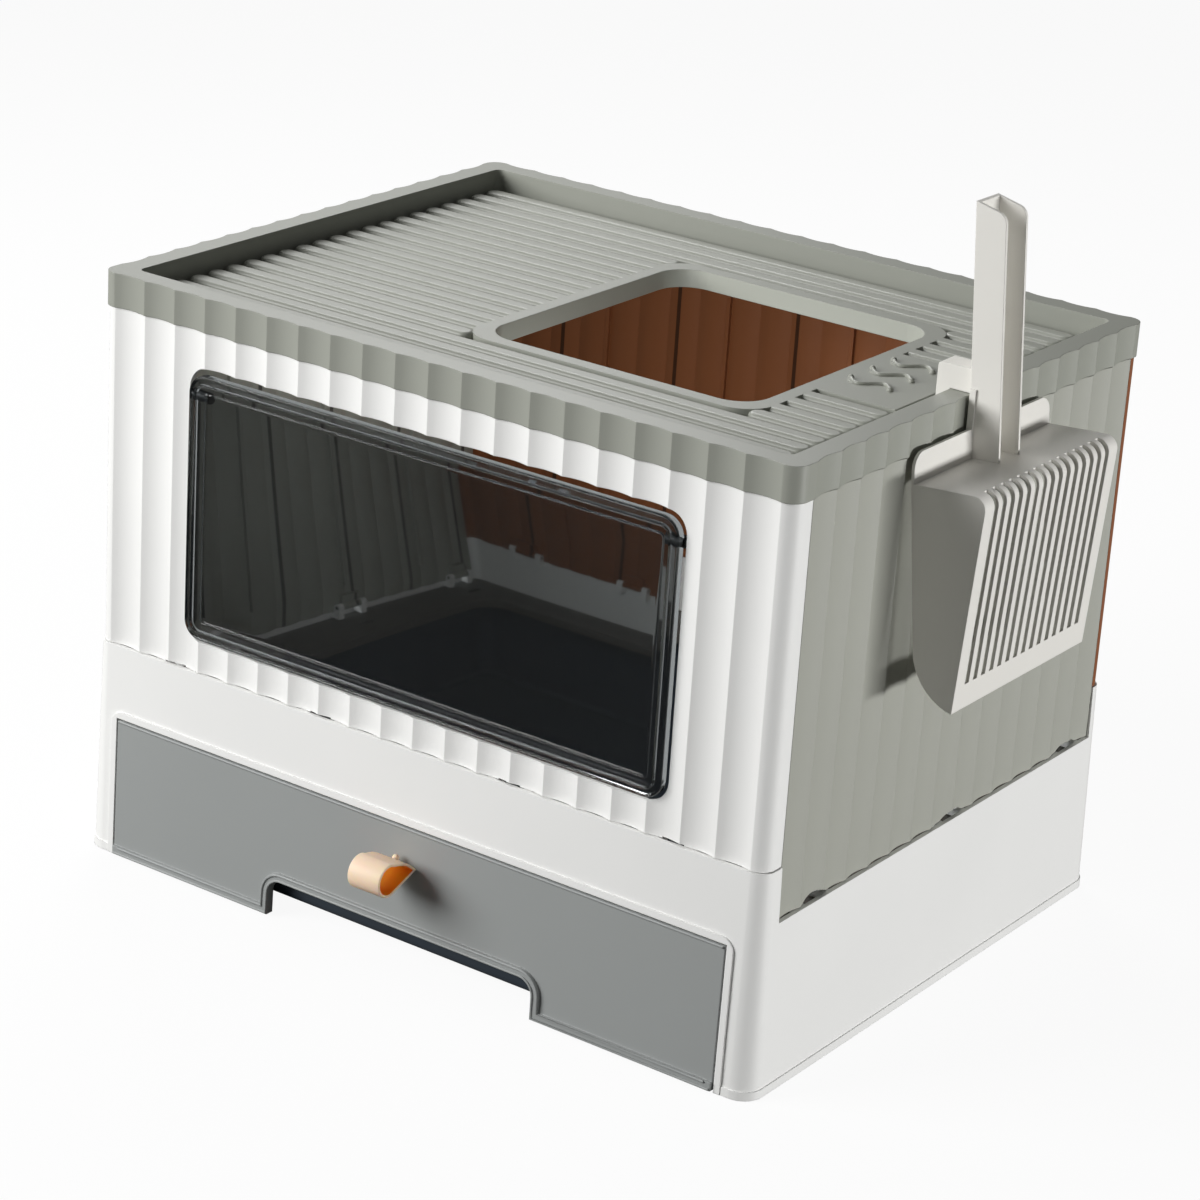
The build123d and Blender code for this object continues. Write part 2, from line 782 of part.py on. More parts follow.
def rib_row(row):
    """The middle of a rib, counted from the front."""
    return -inner_rim_y + rib_edge_gap + (row + 0.5) * rib_pitch


def rib(start, end, y):
    """One rib with round ends and a rounded top."""
    shape = Pos((start + end) / 2, y) * SlotOverall(end - start, rib_width)
    solid = slab(shape, lid_floor_top - lid_wall / 2, rib_top)
    return fillet(solid.faces().sort_by(Axis.Z)[-1].edges(), rib_top_rounding)


def lid_ribs():
    """All the ribs, broken where the entrance and the plain pad are."""
    ribs = []
    for row in range(rib_count):
        y = rib_row(row)
        if abs(y - entry_y) > entry_depth / 2 + entry_band:
            ribs.append(rib(rib_left, rib_right, y))
            continue
        ribs.append(rib(rib_left, band_left + rib_width / 2, y))
        if row < pad_first_row or row > pad_last_row:
            ribs.append(rib(band_right - rib_width / 2, rib_right, y))
    return ribs


def lid_pad():
    """The plain pad between the entrance and the right rim, with its raised wavy lines."""
    low = rib_row(pad_first_row) - rib_width / 2
    high = rib_row(pad_last_row) + rib_width / 2
    start = band_right - entry_band / 2
    pad = block((start, low, lid_floor_top - lid_wall / 2), (rib_right, high, rib_top))
    pad = chamfer(pad.faces().sort_by(Axis.X)[-1].edges().sort_by(Axis.Z)[-1], rib_top_rounding)
    for i in range(wave_count):
        pad += wave(wave_x, wave_y + (i - (wave_count - 1) / 2) * wave_spacing)
    return pad


def wave(x, y):
    """One raised wavy line with round ends."""
    quarter = wave_length / 4
    rise = wave_height / 2
    shape = Spline((x - 2 * quarter, y + rise / 2), (x - quarter, y - rise), (x + quarter, y + rise),
                   (x + 2 * quarter, y - rise / 2))
    line = trace(shape, wave_thickness)
    return slab(line, rib_top - rib_height / 2, rib_top + wave_proud)


def entry_prism(grow, radius, low, high):
    """The entrance's outline, grown all round, between two heights."""
    shape = RectangleRounded(entry_width + 2 * grow, entry_depth + 2 * grow, radius)
    return slab(Pos(entry_x, entry_y) * shape, low, high)


def make_lid():
    """The grey lid: fluted skirt, rim, ribbed floor, entrance and inner lips."""
    lid = slab(lid_plan(), skirt_bottom, box_height)
    x, y = half_width - flute_depth - skirt_wall, half_depth - flute_depth - skirt_wall
    lid -= slab(RectangleRounded(2 * x, 2 * y, corner_radius / 2), skirt_bottom - overcut,
                box_height - rim_thickness)
    inner = RectangleRounded(2 * inner_rim_x, 2 * inner_rim_y, corner_radius / 2)
    outer = RectangleRounded(2 * (inner_rim_x + lid_wall), 2 * (inner_rim_y + lid_wall),
                             corner_radius / 2 + lid_wall)
    lid += slab(outer, lid_floor_bottom, box_height - rim_thickness / 2)
    lid -= slab(inner, lid_floor_top, box_height + overcut)
    for one in lid_ribs():
        lid += one
    lid += lid_pad()
    neck_low = rib_top - entry_neck
    lid += entry_prism(entry_band, entry_radius, lid_floor_bottom, rib_top)
    lid += entry_prism(lid_wall, entry_radius + lid_wall, neck_low, rib_top)
    lid -= entry_prism(0, entry_radius, neck_low, rib_top)
    lip_y = half_depth - panel_inset - panel_wall - flute_depth - lip_gap
    for place in lip_places:
        for side in (-1, 1):
            low, high = sorted((side * lip_y, side * (lip_y - lip_thickness)))
            lid += block((place - lip_length / 2, low, skirt_bottom - lip_depth + lip_gap),
                         (place + lip_length / 2, high, box_height - rim_thickness / 2))
    return lid


# ---- scoop ----

def scoop_outline():
    """The side outline of the scoop's pocket in depth and height, with a bowed lower edge."""
    top = (scoop_depth, 0)
    tip = (scoop_tip_depth, -scoop_length)
    edge = (scoop_edge_depth, -scoop_edge_length)
    middle = ((edge[0] + tip[0]) / 2 - scoop_cheek_bow, (edge[1] + tip[1]) / 2 - scoop_cheek_bow)
    edges = [Line((0, 0), top), Line(top, tip), ThreePointArc(tip, middle, edge), Line(edge, (0, 0))]
    return make_face(Wire(edges))


def scoop_hollow():
    """The side outline of what is cut out of the pocket, open at the back and below."""
    top = (scoop_depth - scoop_wall, -scoop_wall)
    tip = (scoop_tip_depth - scoop_wall, -scoop_length)
    back = -scoop_depth
    beneath = -scoop_length - scoop_depth
    return make_face(Polyline((back, -scoop_wall), top, tip, (tip[0], beneath), (back, beneath), close=True))


def upright(sketch, low, high):
    """A depth and height outline drawn upright and extruded across the scoop."""
    plane = Plane(origin=(0, high, 0), x_dir=(1, 0, 0), z_dir=(0, -1, 0))
    return extrude(plane * sketch, high - low)


def round_front(solid, radius):
    """Rounds the outermost edge that runs across the scoop."""
    return fillet(solid.edges().filter_by(Axis.Y).sort_by(Axis.X)[-1], radius)


def scoop_slot(y):
    """One slot down the scoop's front, which wraps round its top edge."""
    low, high = y - scoop_slot_width / 2, y + scoop_slot_width / 2
    inner = scoop_tip_depth - 2 * scoop_wall
    outer = scoop_depth + overcut
    top = -scoop_corner_radius
    long = block((inner, low, -scoop_length + scoop_slot_end), (outer, high, top + overcut))
    return long + block((scoop_depth - scoop_slot_wrap, low, top), (outer, high, overcut))


def scoop_flange():
    """The upright plate above the pocket, with two rounded corners."""
    half = scoop_width / 2
    plane = Plane(origin=(0, 0, 0), x_dir=(0, 1, 0), z_dir=(1, 0, 0))
    shape = RectangleRounded(scoop_width, 2 * scoop_flange_height, scoop_flange_radius)
    plate = extrude(plane * shape, scoop_wall)
    return plate & block((-overcut, -half, -scoop_wall), (scoop_wall + overcut, half, scoop_flange_height))


def make_scoop():
    """The slotted scoop with its channel handle and the hook over the lid's rim."""
    half = scoop_width / 2
    body = round_front(upright(scoop_outline(), -half, half), scoop_corner_radius)
    hollow = upright(scoop_hollow(), -half + scoop_wall, half - scoop_wall)
    body -= round_front(hollow, scoop_corner_radius - scoop_wall)
    spacing = (scoop_width - 2 * scoop_slot_margin) / (scoop_slots - 1)
    for i in range(scoop_slots):
        body -= scoop_slot(-half + scoop_slot_margin + i * spacing)
    body = body + scoop_flange() + Pos(0, handle_centre - scoop_centre, 0) * make_handle()
    lean = Pos(half_width + scoop_standoff, scoop_centre, scoop_top) * Rot(0, -scoop_lean, 0)
    return (lean * body) + make_hook_leg() + make_hook()


def make_handle():
    """The channel handle, open outwards, with a slanted top and a rounded outer corner."""
    half = handle_width / 2
    low = -scoop_wall / 2
    shape = make_face(Polyline((0, low), (handle_depth, low), (handle_depth, handle_length - handle_slant),
                               (0, handle_length), close=True))
    bar = upright(shape, -half, half)
    top_edges = bar.edges().filter_by(Axis.Y).sort_by(Axis.Z)[-2:]
    bar = fillet(top_edges.sort_by(Axis.X)[-1], handle_corner_radius)
    channel = block((handle_wall, -half + handle_wall, low - overcut),
                    (handle_depth + overcut, half - handle_wall, handle_length + overcut))
    return bar - channel


def make_hook_leg():
    """The upright strap behind the handle that carries the hook down to the pocket."""
    half = handle_width / 2 + hook_leg_side
    return block((half_width + hook_gap, handle_centre - half, scoop_top),
                 (half_width + scoop_standoff + scoop_wall / 2, handle_centre + half,
                  box_height + hook_leg_rise))


def make_hook():
    """The hook: two cheeks and a top plate over the rim, with a tab down inside it."""
    inner = inner_rim_x - hook_gap
    back = inner - hook_reach
    low = box_height - hook_drop
    top = box_height + hook_rise
    outside = half_width + scoop_standoff
    front, rear = handle_centre - hook_width / 2, handle_centre + hook_width / 2
    hook = block((back, front, low), (outside, rear, top))
    top_edges = hook.edges().filter_by(Axis.Y).sort_by(Axis.Z)[-2:]
    hook = fillet(top_edges.sort_by(Axis.X)[0], hook_wall)
    hook -= block((inner, -box_depth, low - overcut), (outside + overcut, box_depth, box_height + hook_gap))
    hook -= block((back + hook_wall, front + hook_wall, low - overcut),
                  (outside - hook_wall, rear - hook_wall, top - hook_wall))
    return hook


def write(name, shape):
    """Write one node as a STEP file."""
    export_step(shape, os.path.join("parts", name + ".step"))


def main():
    """Build every node and write it."""
    right = side_wall()
    runner = make_runner()
    nodes = {
        "base_shell": make_base(),
        "deck_frame": make_deck(),
        "drawer_runner_right": runner,
        "drawer_runner_left": mirror(runner, about=Plane.YZ),
        "runner_tie": make_tie(),
        "front_panel": make_front_panel(),
        "back_panel": make_back_panel(),
        "right_panel": right,
        "left_panel": mirror(right, about=Plane.YZ),
        "front_hinge_pins": make_end_pins(-1),
        "back_hinge_pins": make_end_pins(1),
        "right_hinge_pins": make_side_pins(1),
        "left_hinge_pins": make_side_pins(-1),
        "window_flap": make_flap(),
        "window_pivot_pins": make_pivot_pins(),
        "lid": make_lid(),
        "drawer_front": make_drawer_front(),
        "litter_pan": make_pan(),
        "pull_loop": make_loop(),
        "pull_rivet": make_rivet(),
        "scoop": make_scoop(),
    }
    for name, shape in nodes.items():
        write(name, shape)


main()
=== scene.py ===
"""Looks of a foldable litter box: its drawer, tinted front flap, ribbed lid and scoop."""

import math

import bmesh
import bpy
from bpy.props import FloatProperty, FloatVectorProperty, IntProperty, PointerProperty
from mathutils import Matrix, Vector


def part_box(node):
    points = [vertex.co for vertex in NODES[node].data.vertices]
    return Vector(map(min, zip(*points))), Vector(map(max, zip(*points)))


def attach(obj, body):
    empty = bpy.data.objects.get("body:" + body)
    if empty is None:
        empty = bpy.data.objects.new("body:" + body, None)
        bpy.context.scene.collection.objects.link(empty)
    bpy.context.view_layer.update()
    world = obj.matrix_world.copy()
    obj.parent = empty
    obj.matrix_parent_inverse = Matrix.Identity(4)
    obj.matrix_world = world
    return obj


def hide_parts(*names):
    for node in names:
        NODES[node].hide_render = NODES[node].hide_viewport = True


bl_info = {
    "name": "Drawer Litter Box",
    "version": (1, 0, 0),
    "blender": (4, 5, 0),
    "location": "View3D > Sidebar > Litter Box",
    "description": "Finishes and small pieces of a foldable drawer litter box",
    "category": "Object",
}

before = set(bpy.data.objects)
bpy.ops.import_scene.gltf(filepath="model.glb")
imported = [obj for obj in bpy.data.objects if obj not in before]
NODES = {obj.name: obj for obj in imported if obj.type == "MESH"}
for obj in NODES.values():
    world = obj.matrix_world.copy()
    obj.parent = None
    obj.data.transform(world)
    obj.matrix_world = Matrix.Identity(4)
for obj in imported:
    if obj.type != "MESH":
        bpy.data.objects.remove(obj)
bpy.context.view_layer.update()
MM = 0.001

# The camera: azimuth, elevation and roll in degrees, place in metres, lens and sensor in
# millimetres, and the nearest and farthest thing that it shows.
CAMERA_ANGLES = (34.465, 21.216, 3.779)
CAMERA_PLACE = (1.23228, -1.80394, 1.03373)
CAMERA_LENS = 109.374
CAMERA_SENSOR = 36.0
CAMERA_CLIP = (0.05, 60.0)

# The stage, in metres. The lamps have a place, a target, a width, a height and a power in watts.
WHITE = (1.0, 1.0, 1.0)
SKY_STRENGTH = 0.11
FLOOR_RADIUS = 12.0
FLOOR_SIDES = 64
FLOOR_DROP = 0.5 * MM
FLOOR_WHITE_SHARE = 0.93
CENTRE = (0.0, 0.0, 0.2)
LAMPS = (
    ("key lamp", (-2.08, -2.38, 1.5), CENTRE, 2.2, 1.8, 140.0),
    ("high lamp behind", (-1.0, 1.0, 1.5), (0.0, 0.0, 0.38), 0.9, 0.9, 16.0),
    ("low lamp on the right", (4.2, 0.7, 0.2), CENTRE, 2.2, 0.36, 140.0),
)
CABIN_LAMP = ("lamp in the cabin", (0.05, -0.13, 0.29), (0.0, 0.1, 0.24), 0.24, 0.08, 0.45)

# Moulded plastic: its eroded grain, and how unevenly it is coloured and polished.
PLASTIC_IOR = 1.49
GRAIN_WIDTH = 0.9 * MM
GRAIN_HEIGHT = 0.03 * MM
GRAIN_STRENGTH = 0.5
CLOUD_SCALE = 9.0
CLOUD_SHADE = 0.94
SHINE_SPREAD = 0.04
SOAK_RADIUS = (0.016, 0.005, 0.001)
EDGE_SAMPLES = 4

# The clear flap's plastic, and the pins' steel.
FLAP_IOR = 1.3
FLAP_EDGE = 0.5 * MM
HAZE_SCALE = 30.0
HAZE_SPREAD = 0.03
STEEL_LINE_SCALE = 1500.0
STEEL_SPREAD = 0.08

# Painted shade on the walls' inner faces: dark upright lines that stand in for shade. Given are the
# axis that they are counted along, the first one's place, their spacing, and the axis that faces
# in.
BACK_BARS = ("X", 5.9 * MM, 95.7 * MM, "Y")
SIDE_BARS = ("Y", 22.5 * MM, 74.8 * MM, "X")
BAR_HALF = 1.6 * MM
BAR_SHADE = 0.22
LEAST_INWARD = 0.3

# The raised wave lines on the lid's pad. WAVE_TURN is the sine's angle at a line's ends.
WAVE_COUNT = 3
WAVE_LENGTH = 30 * MM
WAVE_RISE = 5 * MM
WAVE_SPACING = 24.5 * MM
WAVE_TURN = math.radians(205)
WAVE_CENTRE = (0.185, 0.015, 0.3785)
WAVE_POINTS = 33
WAVE_SIDES = 16
KNOB_SEGMENTS = 24
KNOB_RINGS = 12

# The drawer front's foot bead, with its two crests' distances in from the edge, and the hand notch.
NOTCH_HALF = 104 * MM
NOTCH_TOP = 26 * MM
NOTCH_RADIUS = 10 * MM
BEAD_PROUD = 1.8 * MM
BEAD_CRESTS = (0.9 * MM, 4.7 * MM)
LINE_SIDES = 12
TOP_EDGE_DEPTH = 0.1 * MM

# The flap. Each ridge of its rim has its middle's distance in from the edge, its half width, and
# the height of its foot and its top, in millimetres.
FLAP_RADIUS = 12.5 * MM
SMALLEST_RADIUS = 3 * MM
FLAP_PROUD = 4 * MM
RIM_RIDGES = ((1.2, 1.2, 1.0, 2.4), (5.9, 0.9, 1.2, 3.7), (11.6, 0.8, 0.4, 1.5))
RIM_WIDTH = 13.0
BUSH_RADIUS = 3.9 * MM
BUSH_LENGTH = 12 * MM
BUSH_SIDES = 32

# The pull loop: its tip above and its round end below the CAD loop's middle, and the small nub.
LOOP_RISE = 4 * MM
LOOP_DROP = 2.5 * MM
INNER_FACE_SHARE = 0.95
LEAST_MITRE_COSINE = 0.35
NUB_PLACE = (-1.5 * MM, -208 * MM, 74.8 * MM)
NUB_RADIUS = 2.2 * MM
NUB_SEGMENTS = 24
NUB_RINGS = 12

# Faces that meet at more than this angle keep a sharp edge.
SHARP_ANGLE = math.radians(40)


# ---- colour, nodes and meshes ----

def linear(code):
    """An sRGB hex colour as linear red, green and blue."""
    parts = [int(code[i:i + 2], 16) / 255 for i in (1, 3, 5)]
    return tuple(c / 12.92 if c <= 0.04045 else ((c + 0.055) / 1.055) ** 2.4 for c in parts)


def add(tree, kind, inputs=None, **settings):
    """Adds a node: settings are its properties, inputs its sockets' values or links."""
    made = tree.nodes.new(kind)
    for name, value in settings.items():
        setattr(made, name, value)
    for name, value in (inputs or {}).items():
        if isinstance(value, bpy.types.NodeSocket):
            tree.links.new(value, made.inputs[name])
        elif isinstance(value, tuple) and made.inputs[name].type == "RGBA":
            made.inputs[name].default_value = (*value[:3], 1.0)
        else:
            made.inputs[name].default_value = value
    return made


def new_material(name):
    """An empty material and its node tree."""
    material = bpy.data.materials.new(name)
    material.use_nodes = True
    material.node_tree.nodes.clear()
    return material, material.node_tree


def painted_shade_lines(tree, coordinates, tone, colour, bars):
    """Paints shade on a wall's inner side: thin dark upright lines.

    bars holds the axis that they are counted along, the first one's place, their spacing, and the
    axis and the sign of the inner side.
    """
    along, first, spacing, inward, sign = bars
    spot = add(tree, "ShaderNodeSeparateXYZ", {"Vector": coordinates["Object"]}).outputs[along]
    counted = add(tree, "ShaderNodeMath", {0: spot, 1: first}, operation="SUBTRACT")
    away = add(tree, "ShaderNodeMath", {0: counted.outputs[0], 1: spacing / 2},
               operation="PINGPONG")
    line = add(tree, "ShaderNodeMath", {0: away.outputs[0], 1: BAR_HALF}, operation="LESS_THAN")
    facing = add(tree, "ShaderNodeSeparateXYZ", {"Vector": coordinates["Normal"]}).outputs[inward]
    inner = add(tree, "ShaderNodeMath", {0: facing, 1: sign}, operation="MULTIPLY")
    inside = add(tree, "ShaderNodeMath", {0: inner.outputs[0], 1: LEAST_INWARD},
                 operation="GREATER_THAN")
    mask = add(tree, "ShaderNodeMath", {0: line.outputs[0], 1: inside.outputs[0]},
               operation="MULTIPLY")
    # Painted shade: the lines take a darker copy of the wall's colour.
    dark = tuple(c * BAR_SHADE for c in colour)
    return add(tree, "ShaderNodeMix", {"Factor": mask.outputs[0], "A": tone, "B": dark},
               data_type="RGBA").outputs["Result"]


def moulded(name, colour, roughness, edge=0.6, soak=0.0, bars=None):
    """An injection moulded plastic: even colour, fine eroded grain, soft moulded edges.

    edge is the edges' radius in millimetres, soak is how much of the light goes through the
    plastic, and bars gives the painted shade lines on a wall's inner side.
    """
    material, tree = new_material(name)
    coordinates = add(tree, "ShaderNodeTexCoord").outputs
    place = coordinates["Object"]
    cloud = add(tree, "ShaderNodeTexNoise", {"Vector": place, "Scale": CLOUD_SCALE, "Detail": 3.0})
    darker = tuple(c * CLOUD_SHADE for c in colour)
    tone = add(tree, "ShaderNodeMix", {"Factor": cloud.outputs["Fac"], "A": colour, "B": darker},
               data_type="RGBA").outputs["Result"]
    # Painted shade: dark upright lines on a wall's inner side.
    if bars:
        tone = painted_shade_lines(tree, coordinates, tone, colour, bars)
    fine = add(tree, "ShaderNodeTexNoise", {"Vector": place, "Scale": 1 / GRAIN_WIDTH,
                                            "Detail": 2.0})
    shine = add(tree, "ShaderNodeMapRange", {
        "Value": fine.outputs["Fac"], "To Min": roughness - SHINE_SPREAD,
        "To Max": roughness + SHINE_SPREAD})
    soft = add(tree, "ShaderNodeBevel", {"Radius": edge * MM}, samples=EDGE_SAMPLES)
    bump = add(tree, "ShaderNodeBump", {
        "Height": fine.outputs["Fac"], "Strength": GRAIN_STRENGTH, "Distance": GRAIN_HEIGHT,
        "Normal": soft.outputs["Normal"]})
    surface = add(tree, "ShaderNodeBsdfPrincipled", {
        "Base Color": tone, "Roughness": shine.outputs["Result"], "IOR": PLASTIC_IOR,
        "Subsurface Weight": soak, "Subsurface Radius": SOAK_RADIUS, "Subsurface Scale": 1.0,
        "Normal": bump.outputs["Normal"]})
    add(tree, "ShaderNodeOutputMaterial", {"Surface": surface.outputs["BSDF"]})
    return material


def smoked(name, colour, roughness):
    """A smoke tinted clear plastic: glossy, and darker with each face that it is seen through."""
    material, tree = new_material(name)
    place = add(tree, "ShaderNodeTexCoord").outputs["Object"]
    haze = add(tree, "ShaderNodeTexNoise", {"Vector": place, "Scale": HAZE_SCALE, "Detail": 2.0})
    shine = add(tree, "ShaderNodeMapRange", {
        "Value": haze.outputs["Fac"], "To Min": roughness, "To Max": roughness + HAZE_SPREAD})
    soft = add(tree, "ShaderNodeBevel", {"Radius": FLAP_EDGE}, samples=EDGE_SAMPLES)
    glass = add(tree, "ShaderNodeBsdfPrincipled", {
        "Base Color": colour, "Roughness": shine.outputs["Result"], "IOR": FLAP_IOR,
        "Transmission Weight": 1.0, "Normal": soft.outputs["Normal"]})
    clear = add(tree, "ShaderNodeBsdfTransparent", {"Color": colour})
    ray = add(tree, "ShaderNodeLightPath")
    both = add(tree, "ShaderNodeMixShader", {
        0: ray.outputs["Is Shadow Ray"], 1: glass.outputs["BSDF"], 2: clear.outputs["BSDF"]})
    add(tree, "ShaderNodeOutputMaterial", {"Surface": both.outputs["Shader"]})
    return material


def drawn_metal(name, colour, roughness):
    """A drawn metal wire, with fine lines in its shine."""
    material, tree = new_material(name)
    place = add(tree, "ShaderNodeTexCoord").outputs["Object"]
    lines = add(tree, "ShaderNodeTexNoise", {"Vector": place, "Scale": STEEL_LINE_SCALE,
                                             "Detail": 3.0})
    shine = add(tree, "ShaderNodeMapRange", {
        "Value": lines.outputs["Fac"], "To Min": roughness - STEEL_SPREAD,
        "To Max": roughness + STEEL_SPREAD})
    surface = add(tree, "ShaderNodeBsdfPrincipled", {
        "Base Color": colour, "Metallic": 1.0, "Roughness": shine.outputs["Result"]})
    add(tree, "ShaderNodeOutputMaterial", {"Surface": surface.outputs["BSDF"]})
    return material


def mesh_object(name, build, materials):
    """A new object whose mesh is filled by build(bm)."""
    mesh = bpy.data.meshes.new(name)
    bm = bmesh.new()
    build(bm)
    bm.to_mesh(mesh)
    bm.free()
    made = bpy.data.objects.new(name, mesh)
    bpy.context.scene.collection.objects.link(made)
    for material in materials:
        mesh.materials.append(material)
    return made


def new_tree(name, sockets):
    """A Geometry Nodes tree with one output and these inputs, and its inputs' sockets."""
    tree = bpy.data.node_groups.new(name, "GeometryNodeTree")
    for label, kind in sockets:
        tree.interface.new_socket(label, in_out="INPUT", socket_type="NodeSocket" + kind)
    tree.interface.new_socket("Geometry", in_out="OUTPUT", socket_type="NodeSocketGeometry")
    return tree, add(tree, "NodeGroupInput").outputs


def end_tree(tree, geometry, material):
    """Ends a tree: real, smooth geometry with its material."""
    real = add(tree, "GeometryNodeRealizeInstances", {"Geometry": geometry})
    smooth = add(tree, "GeometryNodeSetShadeSmooth", {"Geometry": real.outputs["Geometry"]})
    finished = add(tree, "GeometryNodeSetMaterial", {"Geometry": smooth.outputs["Geometry"],
                                                     "Material": material})
    add(tree, "NodeGroupOutput", {"Geometry": finished.outputs["Geometry"]})


def grow(name, tree, values, build=lambda bm: None):
    """A plain mesh object of what a Geometry Nodes tree makes of its inputs and a start mesh."""
    made = mesh_object(name, build, [])
    modifier = made.modifiers.new(name, "NODES")
    modifier.node_group = tree
    for socket in tree.interface.items_tree:
        if socket.in_out == "INPUT" and socket.name in values:
            modifier[socket.identifier] = values[socket.name]
    evaluated = made.evaluated_get(bpy.context.evaluated_depsgraph_get())
    grown = bpy.data.meshes.new_from_object(evaluated)
    made.modifiers.clear()
    made.data = grown
    return made


def paint(material, slot_name, *names):
    """Gives CAD nodes one finish; slot_name is not used."""
    for name in names:
        mesh = NODES[name].data
        mesh.materials.clear()
        mesh.materials.append(material)


# ---- settings ----

def colour_of(label, text, code):
    """A colour setting."""
    return FloatVectorProperty(name=label, description=text, subtype="COLOR", size=3,
                               min=0.0, max=1.0, default=linear(code))


def length_of(label, text, value, least, most):
    """A length setting, given in millimetres."""
    return FloatProperty(name=label, description=text, unit="LENGTH", default=value * MM,
                         min=least * MM, max=most * MM)


class LitterBoxColours(bpy.types.PropertyGroup):
    """Colours of the plastics and the pins."""

    shell: colour_of("Shell", "White of the base and the front wall", "#F2F2F0")
    lid: colour_of("Lid", "Grey of the lid", "#9A9C93")
    wall: colour_of("Side walls", "Grey of the side walls", "#A7A89F")
    back: colour_of("Back wall", "Brown of the back wall", "#8A5433")
    drawer: colour_of("Drawer", "Grey of the drawer front", "#9C9F9E")
    inner: colour_of("Inner parts", "Grey of the deck and the runners", "#5E5C58")
    pan: colour_of("Pan", "Dark grey of the litter pan", "#3A424B")
    tint: colour_of("Flap tint", "Colour left by one face of the tinted flap", "#8F9394")
    bush: colour_of("Bushes", "Black of the flap's two bushes", "#1E2022")
    loop_outside: colour_of("Loop outside", "Peach of the pull loop", "#FFDCC0")
    # Painted glow: the loop's inner face takes this deep orange for light coming through the strap.
    loop_inside_glow: colour_of("Loop inside", "Orange of the pull loop's inner face", "#FF8A12")
    scoop: colour_of("Scoop", "Off-white of the scoop", "#ECEAE4")
    steel: colour_of("Pins", "Grey of the steel pins", "#8C8C8C")


class LitterBoxSizes(bpy.types.PropertyGroup):
    """Sizes of the pieces that are made here."""

    strap_thickness: length_of("Strap thickness", "Thickness of the pull loop's strap", 1.8, 0.5, 4)
    strap_rounding: length_of("Strap rounding", "Rounding of the strap's long edges", 0.7, 0.1, 2)
    strap_bulge: length_of("Strap bulge", "How far the strap's upper run swells out", 2.2, 0, 3)
    drawer_line: length_of("Drawer line radius", "Radius of the drawer's round edge lines",
                           0.9, 0.3, 2)
    wave_radius: length_of("Wave line radius", "Radius of the raised lines on the pad", 1.3, 0.5, 3)
    wave_knob: length_of("Wave end radius", "Radius of the round ends of the raised lines",
                         2.0, 0.5, 4)
    round_steps: IntProperty(name="Round steps", description="Faces round the loop's outer end",
                             default=40, min=8, max=120)
    flap_thickness: length_of("Flap thickness", "Thickness of the flap's sheet", 3, 1, 4)


# ---- stage ----

def point_camera():
    """The camera at the photograph's viewing angle."""
    azimuth, elevation, roll = (math.radians(angle) for angle in CAMERA_ANGLES)
    back = Vector((math.sin(azimuth) * math.cos(elevation),
                   -math.cos(azimuth) * math.cos(elevation), math.sin(elevation)))
    right = (-back).cross(Vector((0, 0, 1))).normalized()
    up = right.cross(-back)
    turned_right = right * math.cos(roll) + up * math.sin(roll)
    turned_up = up * math.cos(roll) - right * math.sin(roll)
    turn = Matrix((turned_right, turned_up, back)).transposed()
    data = bpy.data.cameras.new("camera")
    data.sensor_width = CAMERA_SENSOR
    data.lens = CAMERA_LENS
    data.clip_start, data.clip_end = CAMERA_CLIP
    camera = bpy.data.objects.new("camera", data)
    camera.matrix_world = Matrix.Translation(CAMERA_PLACE) @ turn.to_4x4()
    bpy.context.scene.collection.objects.link(camera)
    bpy.context.scene.camera = camera


def area_lamp(name, place, target, width, height, power, in_sight=True):
    """A soft box that faces a point."""
    data = bpy.data.lights.new(name, "AREA")
    data.shape = "RECTANGLE"
    data.size = width
    data.size_y = height
    data.energy = power
    lamp = bpy.data.objects.new(name, data)
    lamp.location = place
    facing = Vector(target) - Vector(place)
    lamp.rotation_euler = facing.to_track_quat("-Z", "Y").to_euler()
    bpy.context.scene.collection.objects.link(lamp)
    lamp.visible_camera = lamp.visible_glossy = lamp.visible_transmission = in_sight


def seen(tree):
    """One where the camera sees a surface, also through the clear flap; otherwise zero."""
    ray = add(tree, "ShaderNodeLightPath")
    both = add(tree, "ShaderNodeMath", {0: ray.outputs["Is Camera Ray"],
                                        1: ray.outputs["Is Transmission Ray"]},
               operation="ADD", use_clamp=True)
    return both.outputs[0]


def studio_world():
    """A dim even sky that looks white behind the object."""
    world = bpy.data.worlds.new("studio")
    world.use_nodes = True
    tree = world.node_tree
    tree.nodes.clear()
    dim = add(tree, "ShaderNodeBackground", {"Color": WHITE, "Strength": SKY_STRENGTH})
    white = add(tree, "ShaderNodeBackground", {"Color": WHITE, "Strength": 1.0})
    both = add(tree, "ShaderNodeMixShader", {0: seen(tree), 1: dim.outputs[0], 2: white.outputs[0]})
    add(tree, "ShaderNodeOutputWorld", {"Surface": both.outputs[0]})
    return world


def floor_finish():
    """Matt paper that bounces little light, and looks almost white with a faint shadow."""
    material, tree = new_material("pale floor")
    bounce = add(tree, "ShaderNodeBsdfDiffuse", {"Color": linear("#6A6A68")})
    matt = add(tree, "ShaderNodeBsdfDiffuse", {"Color": linear("#F4F4F4")})
    glow = add(tree, "ShaderNodeEmission", {"Color": WHITE, "Strength": 1.0})
    pale = add(tree, "ShaderNodeMixShader", {
        0: FLOOR_WHITE_SHARE, 1: matt.outputs[0], 2: glow.outputs[0]})
    both = add(tree, "ShaderNodeMixShader", {
        0: seen(tree), 1: bounce.outputs[0], 2: pale.outputs[0]})
    add(tree, "ShaderNodeOutputMaterial", {"Surface": both.outputs[0]})
    return material


